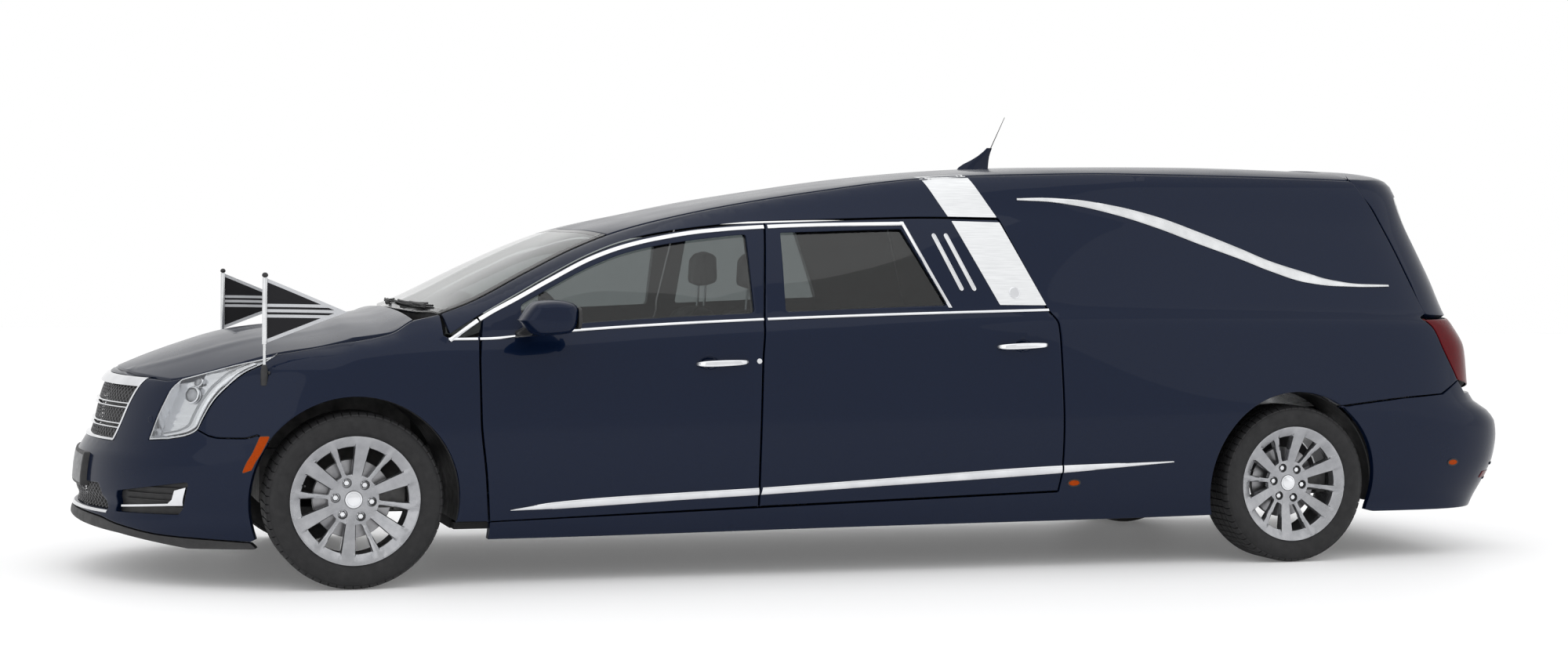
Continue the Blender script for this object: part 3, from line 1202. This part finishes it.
mirror_outline = side_outline(MIRROR_SHARES)
mirror = lofted("mirror_left", [[(x, y, z) for x, z in shrunk(mirror_outline, share)]
                                for y, share in zip(MIRROR_Y, MIRROR_SCALES)], NAVY)
ARM_SHARES = [(0.150, 0.905), (0.150, 0.935), (0.172, 0.935), (0.172, 0.905)]
arm_x = station_x(0.160)
arm_foot_y = side_y(arm_x, height(0.92))
joined(mirror, prism("arm", side_outline(ARM_SHARES), arm_foot_y + SEAT * 3, MIRROR_Y[1]))
cleared(mirror, left_doors[0][0], SEAT)
mirrored(mirror, "mirror_right")

# Tyres and rims. Profiles are loops of (radius, y from the wheel's middle), outer side positive.
TREAD_HALF = 0.095
BEAD_HALF = 0.092
SIDEWALL_RADIUS = 0.292
FLANGE_LIP_WIDTH = 0.010
DISH = 0.035
FACE_OUT = 0.080
tyre_profile = [(TYRE_RADIUS, -TREAD_HALF), (TYRE_RADIUS, TREAD_HALF), (SIDEWALL_RADIUS, TYRE_WIDTH / 2),
                (RIM_FLANGE + SEAT, BEAD_HALF + FLANGE_LIP_WIDTH), (RIM_SEAT + SEAT, BEAD_HALF - SEAT),
                (RIM_SEAT + SEAT, -BEAD_HALF + SEAT), (RIM_FLANGE + SEAT, -BEAD_HALF - FLANGE_LIP_WIDTH),
                (SIDEWALL_RADIUS, -TYRE_WIDTH / 2)]
# The barrel's loop starts with the two points that the spokes meet, the front one first.
barrel_profile = [(RIM_SEAT - BARREL_WALL, FACE_OUT), (RIM_SEAT - BARREL_WALL, FACE_OUT - SPOKE_WALL),
                  (RIM_SEAT - BARREL_WALL, -BEAD_HALF - FLANGE_LIP_WIDTH), (RIM_FLANGE, -BEAD_HALF - FLANGE_LIP_WIDTH),
                  (RIM_SEAT, -BEAD_HALF), (RIM_SEAT, BEAD_HALF), (RIM_FLANGE, BEAD_HALF + FLANGE_LIP_WIDTH),
                  (RIM_SEAT - BARREL_WALL / 2, BEAD_HALF + FLANGE_LIP_WIDTH)]
disc_face = FACE_OUT - DISH - SPOKE_WALL
disc_outer = disc_face - HAT_DEPTH
disc_inner = disc_outer - DISC_WALL
hub_profile = [(HUB_RADIUS, FACE_OUT - DISH), (HUB_RADIUS, disc_face), (HUB_RADIUS, disc_outer),
               (DISC_RADIUS, disc_outer), (DISC_RADIUS, disc_inner), (HUB_BORE, disc_inner),
               (HUB_BORE, FACE_OUT - DISH)]
SPOKE_EVERY = 2


def spoked(name, x, y, z, side, material):
    """Barrel and hub as rings, joined by spokes in one segment out of every few."""
    loops = [barrel_profile, hub_profile]
    points = []
    for i in range(ROUND_STEPS):
        angle = wheel_angle(i)
        for loop in loops:
            points += [(x + r * math.cos(angle), y + side * out, z + r * math.sin(angle)) for r, out in loop]
    outer, inner = len(barrel_profile), len(hub_profile)
    stride = outer + inner
    faces = []
    for i in range(ROUND_STEPS):
        this, after = i * stride, (i + 1) % ROUND_STEPS * stride
        solid_here = i % SPOKE_EVERY == 0
        for start, count in ((0, outer), (outer, inner)):
            for j in range(count):
                if j == 0 and solid_here:
                    continue
                a, b = start + j, start + (j + 1) % count
                faces.append([this + a, this + b, after + b, after + a])
        if solid_here:
            faces.append([this, after, after + outer, this + outer])
            faces.append([this + 1, after + 1, after + outer + 1, this + outer + 1])
            for edge in (this, after):
                faces.append([edge, edge + 1, edge + outer + 1, edge + outer])
    return solid(name, points, faces, material)


wheels = []
for end, axle_x in (("front", FRONT_AXLE_X), ("rear", REAR_AXLE_X)):
    for hand, side in (("left", 1), ("right", -1)):
        y = side * HALF_TRACK
        tyre = turned(f"tyre_{end}_{hand}", [(r, y + side * out) for r, out in tyre_profile], axle_x, AXLE_HEIGHT,
                      material=RUBBER)
        rim = spoked(f"rim_{end}_{hand}", axle_x, y, AXLE_HEIGHT, side, ALLOY)
        wheels.append((end, hand, Vector((axle_x, y, AXLE_HEIGHT)), tyre, rim))

# Knuckles: a stub through the hub, an upright, and the caliper over the disc
STUB_RADIUS = HUB_BORE - SEAT
UPRIGHT_FOOT = 0.235
UPRIGHT_TOP = 0.450
UPRIGHT_WIDTH = 0.070
UPRIGHT_WALL = 0.045
CALIPER_REACH = (0.090, 0.198)
CALIPER_HALF = 0.055
PAD_GAP = 0.006
PAD_WALL = 0.018


def carrier(name, axle_x, side, low, high):
    """The upright, stub and caliper of one wheel."""
    y = side * HALF_TRACK
    inner_y = y + side * (disc_inner - PAD_GAP - UPRIGHT_WALL)
    outer_y = y + side * (disc_inner - PAD_GAP)

    def span(a, b):
        return min(a, b), max(a, b)

    y_low, y_high = span(inner_y, outer_y)
    piece = block(name, (axle_x - UPRIGHT_WIDTH / 2, y_low, low), (axle_x + UPRIGHT_WIDTH / 2, y_high, high), STEEL)
    stub_y = span(inner_y + side * SKIN, y + side * (FACE_OUT - DISH - SKIN / 2))
    rings = [[(axle_x + STUB_RADIUS * math.cos(wheel_angle(i)), at, AXLE_HEIGHT + STUB_RADIUS * math.sin(wheel_angle(i)))
              for i in range(ROUND_STEPS)] for at in stub_y]
    joined(piece, lofted("stub", rings))
    near, far = CALIPER_REACH
    yoke_in = span(y + side * (disc_inner - PAD_GAP - PAD_WALL), y + side * (disc_inner - PAD_GAP))
    yoke_out_face = disc_outer + PAD_GAP
    yoke_out = span(y + side * yoke_out_face, y + side * (yoke_out_face + PAD_WALL / 2))
    bridge = span(y + side * (disc_inner - PAD_GAP - PAD_WALL), y + side * (yoke_out_face + PAD_WALL / 2))
    x_far, x_near = axle_x - far, axle_x - near
    z_low, z_high = AXLE_HEIGHT - CALIPER_HALF, AXLE_HEIGHT + CALIPER_HALF
    joined(piece, block("yoke", (x_far, yoke_in[0], z_low), (axle_x - UPRIGHT_WIDTH / 2 + SKIN, yoke_in[1], z_high)),
           block("bridge", (x_far, bridge[0], z_low + SKIN), (axle_x - DISC_RADIUS - PAD_GAP, bridge[1], z_high - SKIN)),
           block("pad", (x_far + SKIN, yoke_out[0], z_low + SKIN * 2), (x_near - SKIN, yoke_out[1], z_high - SKIN * 2)))
    return piece


knuckles = []
for hand, side in (("left", 1), ("right", -1)):
    knuckles.append(carrier("knuckle_" + hand, FRONT_AXLE_X, side, UPRIGHT_FOOT, UPRIGHT_TOP))

# Front subframe: a cross member with the lower arms, two rails, and the posts that join them
ARM_WIDTH = 0.060
ARM_WALL = 0.035
CROSS_HALF_LENGTH = 0.160
CROSS_TOP = 0.270
CROSS_WALL = 0.070
RAIL_REAR_SHARE = 0.0995
ARM_SHORT = 0.030
arm_end = HALF_TRACK + disc_inner - PAD_GAP - ARM_SHORT
subframe = block("front_subframe", (FRONT_AXLE_X - CROSS_HALF_LENGTH, -RAIL_Y - RAIL_WIDTH / 2, CROSS_TOP - CROSS_WALL),
                 (FRONT_AXLE_X + CROSS_HALF_LENGTH, RAIL_Y + RAIL_WIDTH / 2, CROSS_TOP), STEEL)
joined(subframe, block("arms", (FRONT_AXLE_X - ARM_WIDTH / 2, -arm_end, UPRIGHT_FOOT - SEAT - ARM_WALL),
                       (FRONT_AXLE_X + ARM_WIDTH / 2, arm_end, UPRIGHT_FOOT - SEAT)))
for side in (-1, 1):
    y_inner, y_outer = sorted((side * (RAIL_Y - RAIL_WIDTH / 2), side * (RAIL_Y + RAIL_WIDTH / 2)))
    joined(subframe, block("rail", (station_x(RAIL_REAR_SHARE), y_inner + SEAT, RAIL_FOOT),
                           (station_x(RAIL_NOSE_SHARE), y_outer - SEAT, RAIL_TOP)))
    joined(subframe, block("post", (FRONT_AXLE_X - CROSS_HALF_LENGTH / 2, y_inner + SKIN, CROSS_TOP - SKIN),
                           (FRONT_AXLE_X + CROSS_HALF_LENGTH / 2, y_outer - SKIN, RAIL_FOOT + SKIN)))
# Engine: one block on the cross member
ENGINE_LOW = (-0.310, -0.250, CROSS_TOP + SEAT)
ENGINE_HIGH = (0.290, 0.250, 0.830)
engine = block("engine", (FRONT_AXLE_X + ENGINE_LOW[0], ENGINE_LOW[1], ENGINE_LOW[2]),
               (FRONT_AXLE_X + ENGINE_HIGH[0], ENGINE_HIGH[1], ENGINE_HIGH[2]), STEEL)

# Rear axle: a beam with a stub and caliper at each end, and two mounts under the load floor
BEAM_HALF = 0.045
MOUNT_Y = 0.480
rear_axle = block("rear_axle", (REAR_AXLE_X - BEAM_HALF, -HALF_TRACK - disc_inner + PAD_GAP + SKIN, AXLE_HEIGHT - BEAM_HALF),
                  (REAR_AXLE_X + BEAM_HALF, HALF_TRACK + disc_inner - PAD_GAP - SKIN, AXLE_HEIGHT + BEAM_HALF), STEEL)
for side in (-1, 1):
    end_piece = carrier("end", REAR_AXLE_X, side, AXLE_HEIGHT - UPRIGHT_WIDTH, AXLE_HEIGHT + UPRIGHT_WIDTH)
    joined(rear_axle, end_piece)
    y_inner, y_outer = sorted((side * (MOUNT_Y - UPRIGHT_WALL), side * (MOUNT_Y + UPRIGHT_WALL)))
    joined(rear_axle, block("mount", (REAR_AXLE_X - BEAM_HALF + SKIN / 2, y_inner, AXLE_HEIGHT),
                            (REAR_AXLE_X + BEAM_HALF - SKIN / 2, y_outer, height(0.545) - SEAT)))

# Seats
SEAT_Y = 0.370
SEAT_HALF = 0.250
CUSHION_SHARES = [(0.235, 0.375), (0.232, 0.545), (0.250, 0.585), (0.352, 0.545), (0.372, 0.560), (0.412, 1.000),
                  (0.430, 1.010), (0.436, 0.970), (0.402, 0.520), (0.392, 0.375)]
HEAD_SHARES = [(0.418, 1.08), (0.420, 1.30), (0.428, 1.36), (0.440, 1.33), (0.442, 1.10)]
HEAD_HALF = 0.135
POST_HALF = 0.020
floor_top = height(0.212)
seats = []
for hand, side in (("left", 1), ("right", -1)):
    y = side * SEAT_Y
    seat = prism("seat_" + hand, side_outline(CUSHION_SHARES), y - SEAT_HALF, y + SEAT_HALF, material=LEATHER)
    bevelled(seat, 0.03)
    head = prism("head", side_outline(HEAD_SHARES), y - HEAD_HALF, y + HEAD_HALF)
    joined(seat, head, block("neck", (station_x(0.432), y - POST_HALF, height(0.95)),
                             (station_x(0.425), y + POST_HALF, height(1.12))),
           block("pedestal", (station_x(0.370), y - SEAT_HALF * 0.7, floor_top + SEAT),
                 (station_x(0.255), y + SEAT_HALF * 0.7, height(0.42))))

# Steering wheel, on a column that leans out of the dashboard
RIM_RADIUS = 0.185
RIM_TUBE = 0.015
COLUMN_LEAN = math.radians(24)
WHEEL_FROM_DASH = 0.100
COLUMN_RADIUS = 0.024
dash_face = [station_x(s) for s, h in (DASH_SHARES[2], DASH_SHARES[3])]
column_foot = Vector(((dash_face[0] + dash_face[1]) / 2, SEAT_Y, height(0.835)))
lean = Vector((-math.cos(COLUMN_LEAN), 0.0, math.sin(COLUMN_LEAN)))


def leaned_ring(name, centre, radius, tube, steps, sides, material=None):
    """A ring of round section about the column's axis."""
    turn = lean.to_track_quat("Z", "Y").to_matrix()
    points = []
    for i in range(steps):
        a = 2 * math.pi * i / steps
        for j in range(sides):
            b = 2 * math.pi * j / sides
            r = radius + tube * math.cos(b)
            points.append(centre + turn @ Vector((r * math.cos(a), r * math.sin(a), tube * math.sin(b))))
    faces = []
    for i in range(steps):
        for j in range(sides):
            faces.append([i * sides + j, i * sides + (j + 1) % sides,
                          (i + 1) % steps * sides + (j + 1) % sides, (i + 1) % steps * sides + j])
    return solid(name, points, faces, material)


wheel_centre = column_foot + lean * WHEEL_FROM_DASH
steering = leaned_ring("steering_wheel", wheel_centre, RIM_RADIUS, RIM_TUBE, 20, 5, BLACK_TRIM)
joined(steering, rod("boss", wheel_centre - lean * (WHEEL_FROM_DASH - COLUMN_RADIUS * 2), wheel_centre + lean * SKIN, COLUMN_RADIUS * 1.6, 12))
turn = lean.to_track_quat("Z", "Y").to_matrix()
for angle in (0.0, 90.0, 180.0):
    direction = turn @ Vector((math.cos(math.radians(angle)), math.sin(math.radians(angle)), 0.0))
    joined(steering, rod("arm", wheel_centre - lean * SKIN / 2, wheel_centre - lean * SKIN / 2 + direction * RIM_RADIUS, RIM_TUBE * 0.8, 8))
joined(dash, rod("column", column_foot - lean * OVERRUN * 2, wheel_centre - lean * (WHEEL_FROM_DASH - COLUMN_RADIUS * 2 + SEAT), COLUMN_RADIUS, 12))

# Load deck: a plate on legs with a partition behind the seats, side rails and rollers
DECK_SHARES = (0.470, 1.66)
DECK_TOP = 0.680
DECK_WALL = 0.025
DECK_HALF = 0.560
ROLLER_RADIUS = 0.018
ROLLER_SUNK = 0.012
ROLLERS = 5
PARTITION_TOP = 0.900
deck = block("bier_deck", (station_x(DECK_SHARES[1]), -DECK_HALF, DECK_TOP - DECK_WALL),
             (station_x(DECK_SHARES[0]), DECK_HALF, DECK_TOP), DECK)
joined(deck, block("partition", (station_x(DECK_SHARES[0]) - DECK_WALL, -DECK_HALF - SKIN, floor_top + SEAT),
                   (station_x(DECK_SHARES[0]) + DECK_WALL, DECK_HALF + SKIN, height(PARTITION_TOP))))
for side in (-1, 1):
    y_inner, y_outer = sorted((side * (DECK_HALF - DECK_WALL), side * (DECK_HALF + SKIN)))
    joined(deck, block("rail", (station_x(DECK_SHARES[1]), y_inner, DECK_TOP - DECK_WALL - SKIN),
                       (station_x(DECK_SHARES[0]) - SKIN, y_outer, DECK_TOP + DECK_WALL)))
for s in (1.05, 1.60):
    joined(deck, block("leg", (station_x(s) - DECK_WALL, -DECK_HALF * 0.8, height(0.575) + SEAT),
                       (station_x(s) + DECK_WALL, DECK_HALF * 0.8, DECK_TOP - DECK_WALL / 2)))
roller_z = DECK_TOP - ROLLER_SUNK
for i in range(ROLLERS):
    x = station_x(DECK_SHARES[1]) + (station_x(DECK_SHARES[0]) - station_x(DECK_SHARES[1])) * (i + 0.5) / ROLLERS
    joined(deck, rod("roller", (x, -DECK_HALF + SKIN, roller_z), (x, DECK_HALF - SKIN, roller_z), ROLLER_RADIUS, 10))

# Pennants: a staff in a holder on each wing, with a stiff tapering flag
STAFF_X = FRONT_AXLE_X + 0.337
STAFF_Y = 0.850
STAFF_RADIUS = 0.006
SLEEVE_RADIUS = 0.0125
HOLDER_RADIUS = 0.014
HOLDER_FOOT = 0.838
HOLDER_TOP = 0.917
BRACKET_WALL = 0.030
FLAG_FOOT = 0.925
FLAG_TOP = 1.172
FLAG_LENGTH = 0.302
FLAG_WALL = 0.004
STAFF_SIDES = 8
staff = rod("pennant_left", (STAFF_X, STAFF_Y, HOLDER_FOOT), (STAFF_X, STAFF_Y, HOLDER_TOP), HOLDER_RADIUS,
            STAFF_SIDES, material=CLOTH)
wing_y = side_point(STAFF_X, 4.4, True).y
BALL_SHARE = 0.9
BALL_RISE_SHARE = 1.6
joined(staff, rod("staff", (STAFF_X, STAFF_Y, HOLDER_TOP - SKIN), (STAFF_X, STAFF_Y, FLAG_TOP), STAFF_RADIUS,
                  STAFF_SIDES),
       rod("sleeve", (STAFF_X, STAFF_Y, FLAG_FOOT), (STAFF_X, STAFF_Y, FLAG_TOP), SLEEVE_RADIUS, STAFF_SIDES),
       rod("ball", (STAFF_X, STAFF_Y, FLAG_TOP - STAFF_RADIUS),
           (STAFF_X, STAFF_Y, FLAG_TOP + SLEEVE_RADIUS * BALL_RISE_SHARE), SLEEVE_RADIUS * BALL_SHARE, STAFF_SIDES),
       prism("flag", [(STAFF_X, FLAG_FOOT + SKIN / 4), (STAFF_X, FLAG_TOP - SKIN / 4),
                      (STAFF_X - FLAG_LENGTH, (FLAG_FOOT + FLAG_TOP) / 2)], STAFF_Y - FLAG_WALL / 2,
             STAFF_Y + FLAG_WALL / 2))
joined(staff, block("bracket", (STAFF_X - HOLDER_RADIUS, wing_y - SKIN, HOLDER_FOOT + SEAT),
                    (STAFF_X + HOLDER_RADIUS, STAFF_Y, HOLDER_FOOT + BRACKET_WALL)))
cleared(staff, wing, SEAT)
cleared(staff, headlamp, SEAT)
largest(staff)
mirrored(staff, "pennant_right")


# The right-hand doors and their glasses
doors = []
for piece, hinge in left_doors:
    doors.append((piece, hinge, 1))
    doors.append((mirrored(piece, piece.name.replace("_left", "_right")), hinge, -1))

# Joint places: an empty on each axis carries what turns about it
HANDS = (("left", 1), ("right", -1))


def carried(name, place, pieces):
    """An empty at a joint, with the pieces parented to it where they stand."""
    pivot = bpy.data.objects.new(name, None)
    bpy.context.scene.collection.objects.link(pivot)
    pivot.location = place
    bpy.context.view_layer.update()
    for piece in pieces:
        piece.parent = pivot
        piece.matrix_parent_inverse = pivot.matrix_world.inverted()
    return pivot


objects = bpy.data.objects
for hand, side in HANDS:
    for door_name, hinge in (("front_door", front_hinge), ("rear_door", rear_hinge)):
        riders = [objects[f"{door_name}_{hand}"], objects[f"{door_name}_glass_{hand}"]]
        if door_name == "front_door":
            riders.append(objects["mirror_" + hand])
        carried(f"{door_name}_{hand}_hinge", (hinge[0], side * hinge[1], AXLE_HEIGHT), riders)
    carried(f"knuckle_{hand}_pivot", (FRONT_AXLE_X, side * HALF_TRACK, AXLE_HEIGHT), [objects["knuckle_" + hand]])
carried("hood_hinge", (hood_hinge_x, 0.0, hood_hinge_z), [hood])
carried("tailgate_hinge", (gate_hinge_x, 0.0, gate_hinge_z), [gate, gate_glass])
carried("steering_pivot", wheel_centre, [steering])
for end, hand, centre, tyre, rim in wheels:
    carried(f"wheel_{end}_{hand}_pivot", centre, [tyre, rim])

# Round pieces are shaded smooth, with their edges kept
SMOOTH_ANGLE = math.radians(35)
for piece in bpy.data.objects:
    if piece.type == "MESH":
        piece.data.shade_smooth()
        piece.data.set_sharp_from_angle(angle=SMOOTH_ANGLE)
